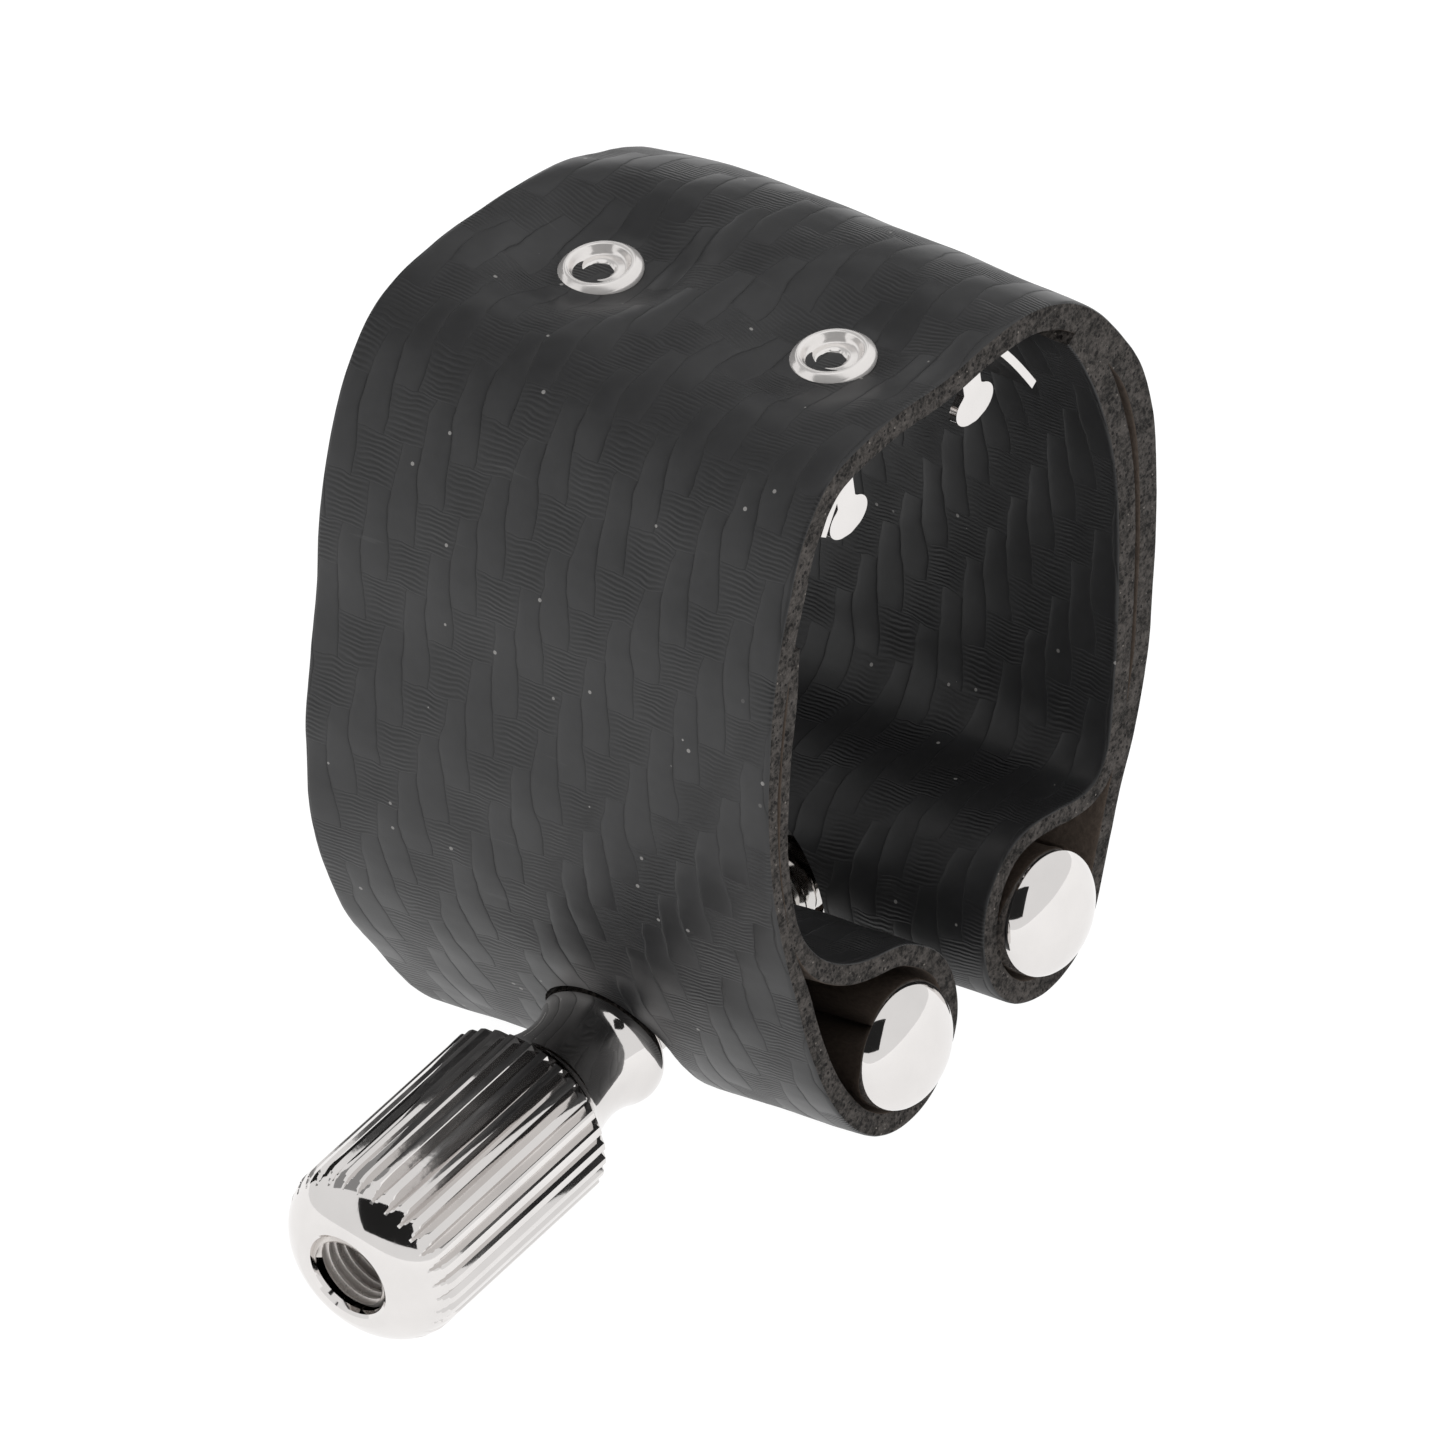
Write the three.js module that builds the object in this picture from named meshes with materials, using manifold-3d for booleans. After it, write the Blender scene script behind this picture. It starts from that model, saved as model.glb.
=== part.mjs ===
// Saxophone ligature: a leather strap that holds a reed on a mouthpiece.
//
// One strip of embossed leather goes over the reed plate as the crown, comes down both sides, turns
// round a steel bar in a loop at each lower end and returns up the inside as a glued lining.
// A thumb screw runs through both bars and draws the loops together.
//
// Millimetres, +Z up. The origin is the middle of the mouthpiece bore. +Y runs along the bore towards
// the wide end of the mouthpiece, so the front rim is at -Y. The thumb screw points to -X.
import * as THREE from 'three';
import { mergeVertices } from 'three/addons/utils/BufferGeometryUtils.js';
import Module from 'manifold-3d';

const wasm = await Module();
wasm.setup();

// ---- driving dimensions -------------------------------------------------------------------------
const FIT_GAP = 0.25; // air between two pieces that touch on the real object

// Strap
const STRAP_WIDTH = 24.2; // along the bore
const LEATHER = 1.05; // one layer
const HALF_WIDTH = 13.7; // widest half of the outside
const CROWN_Z = 13.6; // outside of the crown
const LEAN = 3.3; // how far the slack crown leans towards the screw's tip, seen from the bars
const LEAN_HEIGHT = 18; // height over the bars at which the lean is complete
const SIDE_FLARE = 1.1; // each side is this much wider at the back rim
const HINGE_Z = 10.6; // height at which each wing bends from the crown
const HINGE_SLIT = 0.3; // clear space across that bend

// Bars and their loops
const BAR_RADIUS = 2.95;
const BAR_SPACING = 10.34; // axis to axis, strap slack
const BAR_MID_X = -2.6; // middle between the two axes
const BAR_FRONT_Z = -16; // bar axis at the front rim
const BAR_TILT = THREE.MathUtils.degToRad(5.9); // the bars fall towards the back
const BAR_PROUD = 0.5; // straight part that stands out of each rim
const BAR_DOME = 1.4; // height of the domed end
const SHELF_RISE = 0.55; // height of the lining over the loop, where it leaves the bar

// Thumb screw
const THREAD_RADIUS = 2.0;
const SCREW_CLEARANCE = 0.3; // round the stud, in each bar
const STUD_TIP_REACH = 2.3; // stud past the axis of the right bar
const STUD_IN_KNOB = 9;
const COLLAR_GAP = 1.45; // collar face to the left bar, along the stud
const KNOB_RADIUS = 4.4;
const KNOB_ROOT_RADIUS = 4.02;
const FLUTES = 32;
const BARREL_LENGTH = 9.9;
const DOME_LENGTH = 2.6;
const NECK_LENGTH = 6.4; // shoulder, hollow neck and collar together
const NECK_RADIUS = 2.6;
const COLLAR_RADIUS = 3.1;
const MOUTH_RADIUS = 1.97; // threaded hole in the domed end
const MOUTH_DEPTH = 6;

// Notch in each loop, where the screw passes
const NOTCH_ROOM = 0.4; // air round the collar
const NOTCH_SPREAD = 0.25; // how much wider the foot of the notch is than its top, each side

// Reed plate and its rivets
const PLATE_THICKNESS = 0.5;
const PLATE_HALF_WIDTH = 6.5;
const PLATE_FLAT_HALF = 4.2;
const PLATE_WING_DROP = 2.5; // how far the plate's long edges turn down
const PLATE_LENGTH = 22;
const FOOT_OFFSET = 4.45; // each foot from the middle of the plate
const FOOT_NECK = 1.15;
const FOOT_LOBE_RADIUS = 1.1;
const FOOT_REACH = 2.4; // plate to the middle of the lobe
const RIVET_SPACING = 12.6;
const RIVET_SHANK_RADIUS = 1.25;
const RIVET_HEAD_RADIUS = 1.9;
const RIVET_HEAD_HEIGHT = 0.45;
const RIVET_DISH_RADIUS = 0.9;
const RIVET_TAIL_RADIUS = 1.7;
const RIVET_TAIL_HEIGHT = 0.4;

// ---- sizes that follow from them ----------------------------------------------------------------
const FRONT_Y = -STRAP_WIDTH / 2;
const LOOP_BORE = BAR_RADIUS + FIT_GAP;
const LOOP_RADIUS = LOOP_BORE + LEATHER;
const BAR_FALL = Math.tan(BAR_TILT);
const SCREW_Z = BAR_FRONT_Z - BAR_FALL * STRAP_WIDTH / 2;
const NOTCH_HALF = COLLAR_RADIUS + NOTCH_ROOM;
const CROWN_RISE = CROWN_Z - BAR_FRONT_Z;
const CROWN_MID_X = BAR_MID_X + LEAN;
const CROWN_INSIDE_Z = CROWN_Z - LEATHER;
const PLATE_TOP_Z = CROWN_INSIDE_Z - FIT_GAP;
const LEFT_BAR_X = BAR_MID_X - BAR_SPACING / 2;
const RIGHT_BAR_X = BAR_MID_X + BAR_SPACING / 2;
const COLLAR_X = LEFT_BAR_X - BAR_RADIUS - COLLAR_GAP;
const KNOB_LENGTH = DOME_LENGTH + BARREL_LENGTH + NECK_LENGTH;

// Angles at which the leather leaves the loop, from the outward direction of that side.
const WALL_LEAVES = THREE.MathUtils.degToRad(-38);
const LINING_LEAVES = THREE.MathUtils.degToRad(100);

// Outside of one wall, from the loop up to the middle of the crown: how far inside HALF_WIDTH it
// is, and its height as a share of the way from the bars to the crown.
const WALL = [
  [3.75, 0.0], [2.85, 0.085], [1.85, 0.165], [0.8, 0.27], [0.15, 0.41], [0.0, 0.54],
  [0.15, 0.66], [0.85, 0.765], [2.1, 0.86], [3.9, 0.94], [6.2, 0.99], [9.0, 1.0],
];

// ---- helpers ------------------------------------------------------------------------------------
const v2 = (x, y) => new THREE.Vector2(x, y);

function solid(geometry) {
  const bare = geometry.clone();
  bare.deleteAttribute('normal');
  bare.deleteAttribute('uv');
  const merged = mergeVertices(bare, 1e-4);
  return new wasm.Manifold(new wasm.Mesh({
    numProp: 3,
    vertProperties: new Float32Array(merged.attributes.position.array),
    triVerts: new Uint32Array(merged.index.array),
  }));
}

function geometryOf(manifold) {
  const mesh = manifold.getMesh();
  const geometry = new THREE.BufferGeometry();
  geometry.setAttribute('position', new THREE.BufferAttribute(mesh.vertProperties, 3));
  geometry.setIndex(new THREE.BufferAttribute(mesh.triVerts, 1));
  geometry.computeVertexNormals();
  return geometry;
}

// A section drawn in X and Z, drawn out along Y between two places.
function drawAlongY(shape, fromY, toY) {
  const geometry = new THREE.ExtrudeGeometry(shape, { depth: toY - fromY, bevelEnabled: false });
  geometry.rotateX(Math.PI / 2);
  geometry.translate(0, toY, 0);
  return geometry;
}

// A profile of (radius, place along the axis), turned about the X axis.
function turnAboutX(profile, segments) {
  const geometry = new THREE.LatheGeometry(profile, segments);
  geometry.rotateZ(-Math.PI / 2);
  return geometry;
}

function rodAlongX(radius, fromX, toX, segments) {
  const profile = [v2(0, fromX), v2(radius, fromX), v2(radius, toX), v2(0, toX)];
  return turnAboutX(profile, segments);
}

function rodAlongZ(radius, fromZ, toZ, segments) {
  const geometry = new THREE.CylinderGeometry(radius, radius, toZ - fromZ, segments);
  geometry.rotateX(Math.PI / 2);
  geometry.translate(0, 0, (fromZ + toZ) / 2);
  return geometry;
}

// The same line, moved sideways: to the left of its direction by a positive distance.
function offsetLine(points, distance) {
  return points.map((point, i) => {
    const before = points[Math.max(i - 1, 0)];
    const after = points[Math.min(i + 1, points.length - 1)];
    const along = after.clone().sub(before).normalize();
    return v2(point.x - along.y * distance, point.y + along.x * distance);
  });
}

function arc(centreX, centreY, radius, fromAngle, toAngle, steps) {
  const points = [];
  for (let i = 0; i <= steps; i += 1) {
    const angle = fromAngle + (toAngle - fromAngle) * i / steps;
    points.push(v2(centreX + radius * Math.cos(angle), centreY + radius * Math.sin(angle)));
  }
  return points;
}

const smooth = (value) => THREE.MathUtils.smoothstep(value, 0, 1);
const lean = (z) => LEAN * Math.min(Math.max((z - BAR_FRONT_Z) / LEAN_HEIGHT, 0), 1);

// ---- strap --------------------------------------------------------------------------------------
// Outside of the strap in X and Z at the front rim, from the left loop over the crown to the right.
function strapOutside() {
  const wall = (side) => WALL.map(([inset, share]) => {
    const z = BAR_FRONT_Z + share * CROWN_RISE;
    return v2(BAR_MID_X + side * (HALF_WIDTH - inset) + lean(z), z);
  });
  const leaving = (side) => v2(
    BAR_MID_X + side * (BAR_SPACING / 2 + LOOP_RADIUS * Math.cos(WALL_LEAVES)),
    BAR_FRONT_Z + LOOP_RADIUS * Math.sin(WALL_LEAVES),
  );
  const line = new THREE.SplineCurve([
    leaving(-1), ...wall(-1), v2(CROWN_MID_X, CROWN_Z), ...wall(1).reverse(), leaving(1),
  ]);
  line.arcLengthDivisions = 1200;
  return line;
}

const outside = strapOutside();
const slitShare = HINGE_SLIT / 2 / outside.getLength();

// Share of the outside's length at which one side of it reaches the height of the bend.
function bendShare(side) {
  const [low, high] = [side < 0 ? 0 : 1, 0.5];
  let [under, over] = [low, high];
  for (let i = 0; i < 24; i += 1) {
    const middle = (under + over) / 2;
    if (outside.getPointAt(middle).y < HINGE_Z) under = middle;
    else over = middle;
  }
  return (under + over) / 2;
}

function stretch(fromShare, toShare, steps) {
  const points = [];
  for (let i = 0; i <= steps; i += 1) {
    points.push(outside.getPointAt(fromShare + (toShare - fromShare) * i / steps));
  }
  return points;
}

// The strap's shape grows from the front rim to the back: the loops fall and the sides flare.
function shapeToBack(geometry) {
  const place = geometry.attributes.position;
  for (let i = 0; i < place.count; i += 1) {
    const back = place.getY(i) - FRONT_Y;
    const height = place.getZ(i) - BAR_FRONT_Z;
    const fall = 1 - smooth((height - LOOP_RADIUS - 1) / (CROWN_RISE * 0.6));
    const bulge = Math.sin(Math.PI * THREE.MathUtils.clamp((height - 2) / (CROWN_RISE - 6), 0, 1));
    const side = Math.sign(place.getX(i) - BAR_MID_X - lean(place.getZ(i)));
    place.setX(i, place.getX(i) + side * SIDE_FLARE * bulge * back / STRAP_WIDTH);
    place.setZ(i, place.getZ(i) - BAR_FALL * back * fall);
  }
  return geometry;
}

function strapCrown() {
  const top = stretch(bendShare(-1) + slitShare, bendShare(1) - slitShare, 32);
  const under = offsetLine(top, -LEATHER);
  const section = new THREE.Shape([...top, ...under.reverse()]);
  let crown = solid(shapeToBack(drawAlongY(section, FRONT_Y, -FRONT_Y)));
  for (const y of [-RIVET_SPACING / 2, RIVET_SPACING / 2]) {
    const hole = rodAlongZ(RIVET_SHANK_RADIUS + FIT_GAP, CROWN_Z - 4, CROWN_Z + 4, 24);
    hole.translate(CROWN_MID_X, y, 0);
    crown = crown.subtract(solid(hole));
  }
  return geometryOf(crown);
}

// One wing: the outer wall, the loop round the bar and the lining, glued into one double wall.
// side is -1 for the left wing and 1 for the right.
function wingSection(side) {
  const barX = BAR_MID_X + side * BAR_SPACING / 2;
  // Worked out on the right of a mirror line through the bars, then set back on its own side.
  const foot = side < 0 ? 0 : 1;
  const wall = stretch(bendShare(side) + side * slitShare, foot, 34)
    .map((point) => v2(side * (point.x - barX), point.y - BAR_FRONT_Z));
  const lining = offsetLine(wall, -2 * LEATHER).filter((point) => point.y > LOOP_RADIUS + 5);
  const loop = arc(0, 0, LOOP_RADIUS, WALL_LEAVES, LINING_LEAVES - 2 * Math.PI, 30);
  const meets = lining[lining.length - 1];
  const shelf = new THREE.SplineCurve([
    loop[loop.length - 1],
    v2(1.2, LOOP_RADIUS + SHELF_RISE * 0.4),
    v2(meets.x * 0.62, LOOP_RADIUS + SHELF_RISE),
    v2(meets.x - 1.1, LOOP_RADIUS + SHELF_RISE + 1.6),
    meets,
  ]).getPoints(14);
  const outline = [...wall, ...loop.slice(1), ...shelf.slice(1, -1), ...lining.reverse()];

  const hollowFoot = arc(0, 0, LOOP_BORE, LINING_LEAVES - 2 * Math.PI + 0.2, WALL_LEAVES, 26);
  const apexHeight = LOOP_RADIUS + SHELF_RISE - 0.2;
  const hollowWall = offsetLine(wall, -LEATHER).reverse()
    .filter((point) => point.y > hollowFoot[hollowFoot.length - 1].y + 0.5 && point.y < apexHeight);
  const hollowRoof = offsetLine(shelf, -LEATHER).reverse()
    .filter((point) => point.x > LOOP_BORE * 0.2 && point.y < apexHeight - 0.2);
  const hollow = [...hollowFoot, ...hollowWall, ...hollowRoof];

  const settle = (points) => points.map((point) => v2(barX + side * point.x, point.y + BAR_FRONT_Z));
  const section = new THREE.Shape(settle(outline));
  section.holes.push(new THREE.Path(settle(hollow)));
  return section;
}

// The strip is cut away at each fold so that the screw and its collar reach the bars.
function notchCutter(side) {
  const barX = BAR_MID_X + side * BAR_SPACING / 2;
  const foot = -LOOP_RADIUS - 2;
  const notch = new THREE.Shape([
    ...arc(0, 0, NOTCH_HALF, 0, Math.PI, 12),
    v2(-NOTCH_HALF - NOTCH_SPREAD, foot),
    v2(NOTCH_HALF + NOTCH_SPREAD, foot),
  ]);
  const reach = LOOP_RADIUS + 3;
  const geometry = new THREE.ExtrudeGeometry(notch, { depth: 2 * reach, bevelEnabled: false });
  geometry.translate(0, 0, -reach);
  geometry.rotateX(Math.PI / 2);
  geometry.rotateZ(Math.PI / 2);
  geometry.translate(barX, 0, SCREW_Z);
  return geometry;
}

function strapWing(side) {
  const wing = solid(shapeToBack(drawAlongY(wingSection(side), FRONT_Y, -FRONT_Y)));
  return geometryOf(wing.subtract(solid(notchCutter(side))));
}

// ---- reed plate and rivets ----------------------------------------------------------------------
// The plate's top in X and Z: flat under the crown, with both long edges turned down.
function plateTop() {
  const half = [];
  const span = PLATE_HALF_WIDTH - PLATE_FLAT_HALF;
  for (let i = 0; i <= 6; i += 1) {
    const turn = i / 6 * THREE.MathUtils.degToRad(70);
    const drop = (1 - Math.cos(turn)) / (1 - Math.cos(THREE.MathUtils.degToRad(70)));
    half.push(v2(PLATE_FLAT_HALF + span * Math.sin(turn) / Math.sin(THREE.MathUtils.degToRad(70)),
      -PLATE_WING_DROP * drop));
  }
  const left = half.map((point) => v2(-point.x, point.y)).reverse();
  return [...left, ...half].map((point) => v2(point.x + CROWN_MID_X, point.y + PLATE_TOP_Z));
}

// A foot: a tab bent down from the plate's end, with a round lobe that bears beside the reed.
function plateFoot(x, y) {
  const rootZ = PLATE_TOP_Z - PLATE_THICKNESS / 2;
  const lobeZ = PLATE_TOP_Z - PLATE_THICKNESS - FOOT_REACH;
  const neck = new THREE.Shape([
    v2(x - FOOT_NECK / 2, lobeZ), v2(x + FOOT_NECK / 2, lobeZ),
    v2(x + FOOT_NECK / 2, rootZ), v2(x - FOOT_NECK / 2, rootZ),
  ]);
  const lobe = new THREE.Shape(arc(x, lobeZ, FOOT_LOBE_RADIUS, 0, 2 * Math.PI, 20).slice(1));
  const [fromY, toY] = [y - PLATE_THICKNESS / 2, y + PLATE_THICKNESS / 2];
  return solid(drawAlongY(neck, fromY, toY)).add(solid(drawAlongY(lobe, fromY, toY)));
}

function reedPlate() {
  const top = plateTop();
  const section = new THREE.Shape([...top, ...offsetLine(top, -PLATE_THICKNESS).reverse()]);
  let plate = solid(drawAlongY(section, -PLATE_LENGTH / 2, PLATE_LENGTH / 2));
  const footY = PLATE_LENGTH / 2 - PLATE_THICKNESS / 2;
  for (const y of [-footY, footY]) {
    for (const side of [-1, 1]) {
      plate = plate.add(plateFoot(CROWN_MID_X + side * FOOT_OFFSET, y));
    }
  }
  for (const y of [-RIVET_SPACING / 2, RIVET_SPACING / 2]) {
    const hole = rodAlongZ(RIVET_SHANK_RADIUS + FIT_GAP, PLATE_TOP_Z - 3, PLATE_TOP_Z + 3, 24);
    hole.translate(CROWN_MID_X, y, 0);
    plate = plate.subtract(solid(hole));
  }
  return geometryOf(plate);
}

// A hollow rivet: rolled head on the crown, dished in the middle, and a tail spread under the plate.
// Its own axis is Y until it is stood up.
function rivet() {
  const headZ = CROWN_Z + FIT_GAP;
  const tailZ = PLATE_TOP_Z - PLATE_THICKNESS - FIT_GAP;
  const profile = [
    v2(0, headZ - 0.5), v2(RIVET_DISH_RADIUS * 0.6, headZ - 0.5),
    v2(RIVET_DISH_RADIUS, headZ + RIVET_HEAD_HEIGHT * 0.7),
    v2((RIVET_DISH_RADIUS + RIVET_HEAD_RADIUS) / 2, headZ + RIVET_HEAD_HEIGHT),
    v2(RIVET_HEAD_RADIUS, headZ + RIVET_HEAD_HEIGHT * 0.4), v2(RIVET_HEAD_RADIUS, headZ),
    v2(RIVET_SHANK_RADIUS, headZ), v2(RIVET_SHANK_RADIUS, tailZ),
    v2(RIVET_TAIL_RADIUS, tailZ), v2(RIVET_TAIL_RADIUS * 0.8, tailZ - RIVET_TAIL_HEIGHT),
    v2(0, tailZ - RIVET_TAIL_HEIGHT),
  ].reverse();
  const geometry = new THREE.LatheGeometry(profile, 32);
  geometry.rotateX(Math.PI / 2);
  return geometry;
}

// ---- bars and thumb screw -----------------------------------------------------------------------
// A round bar along Y with domed ends, bored across its middle for the stud.
function bar() {
  const end = STRAP_WIDTH / 2 / Math.cos(BAR_TILT) + BAR_PROUD;
  const dome = arc(0, 0, 1, 0, Math.PI / 2, 8).map((p) => v2(p.x * BAR_RADIUS, end + p.y * BAR_DOME));
  dome[dome.length - 1].x = 0;
  const foot = dome.map((point) => v2(point.x, -point.y)).reverse();
  const body = solid(new THREE.LatheGeometry([...foot, ...dome], 40));
  const reach = BAR_RADIUS + 2;
  const bore = solid(rodAlongX(THREAD_RADIUS + SCREW_CLEARANCE, -reach, reach, 28));
  return geometryOf(body.subtract(bore));
}

// The threaded stud, plain here, with chamfered ends.
function stud() {
  const from = COLLAR_X - STUD_IN_KNOB;
  const to = RIGHT_BAR_X + STUD_TIP_REACH;
  const chamfer = 0.4;
  return turnAboutX([
    v2(0, from), v2(THREAD_RADIUS - chamfer, from), v2(THREAD_RADIUS, from + chamfer),
    v2(THREAD_RADIUS, to - chamfer), v2(THREAD_RADIUS - chamfer, to), v2(0, to),
  ], 28);
}

// Outside of the knob from its collar face (0) to the mouth in its dome, as (radius, distance).
function knobOutside() {
  const shoulder = NECK_LENGTH;
  const barrelEnd = shoulder + BARREL_LENGTH;
  const dome = arc(0, 0, 1, 0, Math.PI / 2, 10)
    .map((p) => v2(p.x * KNOB_RADIUS, barrelEnd + p.y * DOME_LENGTH))
    .filter((point) => point.x > MOUTH_RADIUS + 0.1);
  return [
    v2(0, 0), v2(COLLAR_RADIUS - 0.6, 0), v2(COLLAR_RADIUS - 0.15, 0.3), v2(COLLAR_RADIUS, 0.8),
    v2(COLLAR_RADIUS, 1.3), v2(NECK_RADIUS + 0.15, 2.4), v2(NECK_RADIUS, 3.2),
    v2(NECK_RADIUS + 0.12, 4.0), v2(NECK_RADIUS + 0.6, 4.9), v2(KNOB_RADIUS, shoulder),
    ...dome,
    v2(0, dome[dome.length - 1].y),
  ];
}

function knob() {
  const body = solid(turnAboutX(knobOutside().map((p) => v2(p.x, -p.y)).reverse(), 64));
  const star = new THREE.Shape();
  for (let i = 0; i < FLUTES * 2; i += 1) {
    const angle = i * Math.PI / FLUTES;
    const radius = i % 2 ? KNOB_ROOT_RADIUS : KNOB_RADIUS * 1.005;
    star[i ? 'lineTo' : 'moveTo'](radius * Math.cos(angle), radius * Math.sin(angle));
  }
  const fluted = new THREE.ExtrudeGeometry(star, { depth: KNOB_LENGTH + 2, bevelEnabled: false });
  fluted.rotateY(-Math.PI / 2);
  fluted.translate(1, 0, 0);
  const mouth = rodAlongX(MOUTH_RADIUS, -KNOB_LENGTH - 1, MOUTH_DEPTH - KNOB_LENGTH, 28);
  const socket = rodAlongX(THREAD_RADIUS + FIT_GAP, -STUD_IN_KNOB - FIT_GAP, 1, 28);
  const cut = body.intersect(solid(fluted)).subtract(solid(mouth)).subtract(solid(socket));
  return geometryOf(cut);
}

// ---- assembly -----------------------------------------------------------------------------------
const leather = () => new THREE.MeshStandardMaterial({ color: 0x323234, roughness: 0.55 });
const chrome = () => new THREE.MeshStandardMaterial({ color: 0xe6e3e0, roughness: 0.12, metalness: 1 });

const group = new THREE.Group();

function add(name, geometry, material, x = 0, y = 0, z = 0) {
  const mesh = new THREE.Mesh(geometry, material);
  mesh.name = name;
  mesh.position.set(x, y, z);
  group.add(mesh);
  return mesh;
}

add('strap_crown', strapCrown(), leather());
add('strap_left_loop', strapWing(-1), leather());
add('strap_right_loop', strapWing(1), leather());
add('reed_plate', reedPlate(), chrome());
add('rivet_front', rivet(), chrome(), CROWN_MID_X, -RIVET_SPACING / 2);
add('rivet_back', rivet(), chrome(), CROWN_MID_X, RIVET_SPACING / 2);
add('left_bar', bar(), chrome(), LEFT_BAR_X, 0, SCREW_Z).rotation.x = -BAR_TILT;
add('right_bar', bar(), chrome(), RIGHT_BAR_X, 0, SCREW_Z).rotation.x = -BAR_TILT;
add('screw_stud', stud(), chrome(), 0, 0, SCREW_Z);
add('thumb_knob', knob(), chrome(), COLLAR_X, 0, SCREW_Z);

export default group;
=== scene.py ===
"""Saxophone ligature: the detailed look, laid out as an add-on and run once as a script."""

import math

import bmesh
import bpy
import numpy as np
from bpy.props import FloatProperty, FloatVectorProperty, IntProperty, PointerProperty
from mathutils import Matrix, Vector, noise


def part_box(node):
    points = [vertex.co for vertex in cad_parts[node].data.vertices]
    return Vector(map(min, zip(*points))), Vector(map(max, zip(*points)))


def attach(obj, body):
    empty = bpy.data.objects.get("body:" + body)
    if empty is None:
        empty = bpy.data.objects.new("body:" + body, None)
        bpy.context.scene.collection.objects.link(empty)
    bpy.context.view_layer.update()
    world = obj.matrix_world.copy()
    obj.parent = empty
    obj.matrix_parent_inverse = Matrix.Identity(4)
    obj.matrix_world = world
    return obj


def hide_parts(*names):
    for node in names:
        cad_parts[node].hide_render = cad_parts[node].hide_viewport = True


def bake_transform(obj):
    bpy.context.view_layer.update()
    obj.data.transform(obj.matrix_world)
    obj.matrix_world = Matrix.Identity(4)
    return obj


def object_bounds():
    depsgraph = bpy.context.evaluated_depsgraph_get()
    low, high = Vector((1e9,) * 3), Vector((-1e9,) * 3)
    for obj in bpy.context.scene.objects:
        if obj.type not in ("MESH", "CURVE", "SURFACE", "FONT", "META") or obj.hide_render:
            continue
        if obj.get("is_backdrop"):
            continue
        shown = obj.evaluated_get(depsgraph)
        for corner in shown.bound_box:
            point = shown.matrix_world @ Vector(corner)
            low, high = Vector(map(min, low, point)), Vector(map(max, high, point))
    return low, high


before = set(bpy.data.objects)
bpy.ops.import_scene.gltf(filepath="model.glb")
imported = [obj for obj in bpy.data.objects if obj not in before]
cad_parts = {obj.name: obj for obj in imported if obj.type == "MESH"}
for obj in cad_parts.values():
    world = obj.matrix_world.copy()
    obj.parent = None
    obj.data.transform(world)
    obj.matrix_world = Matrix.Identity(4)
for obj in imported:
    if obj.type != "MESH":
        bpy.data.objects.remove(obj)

bl_info = {
    "name": "Saxophone ligature",
    "version": (1, 0, 0),
    "blender": (4, 5, 0),
    "location": "3D View > Sidebar > Ligature",
    "description": "Builds the detailed pieces of a saxophone ligature on its packed frame",
    "category": "Object",
}

MM = 0.001
BAR_TILT = math.radians(5.9)
HALF_WIDTH = 12.1  # half of the strap's width along the bore, mm

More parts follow.
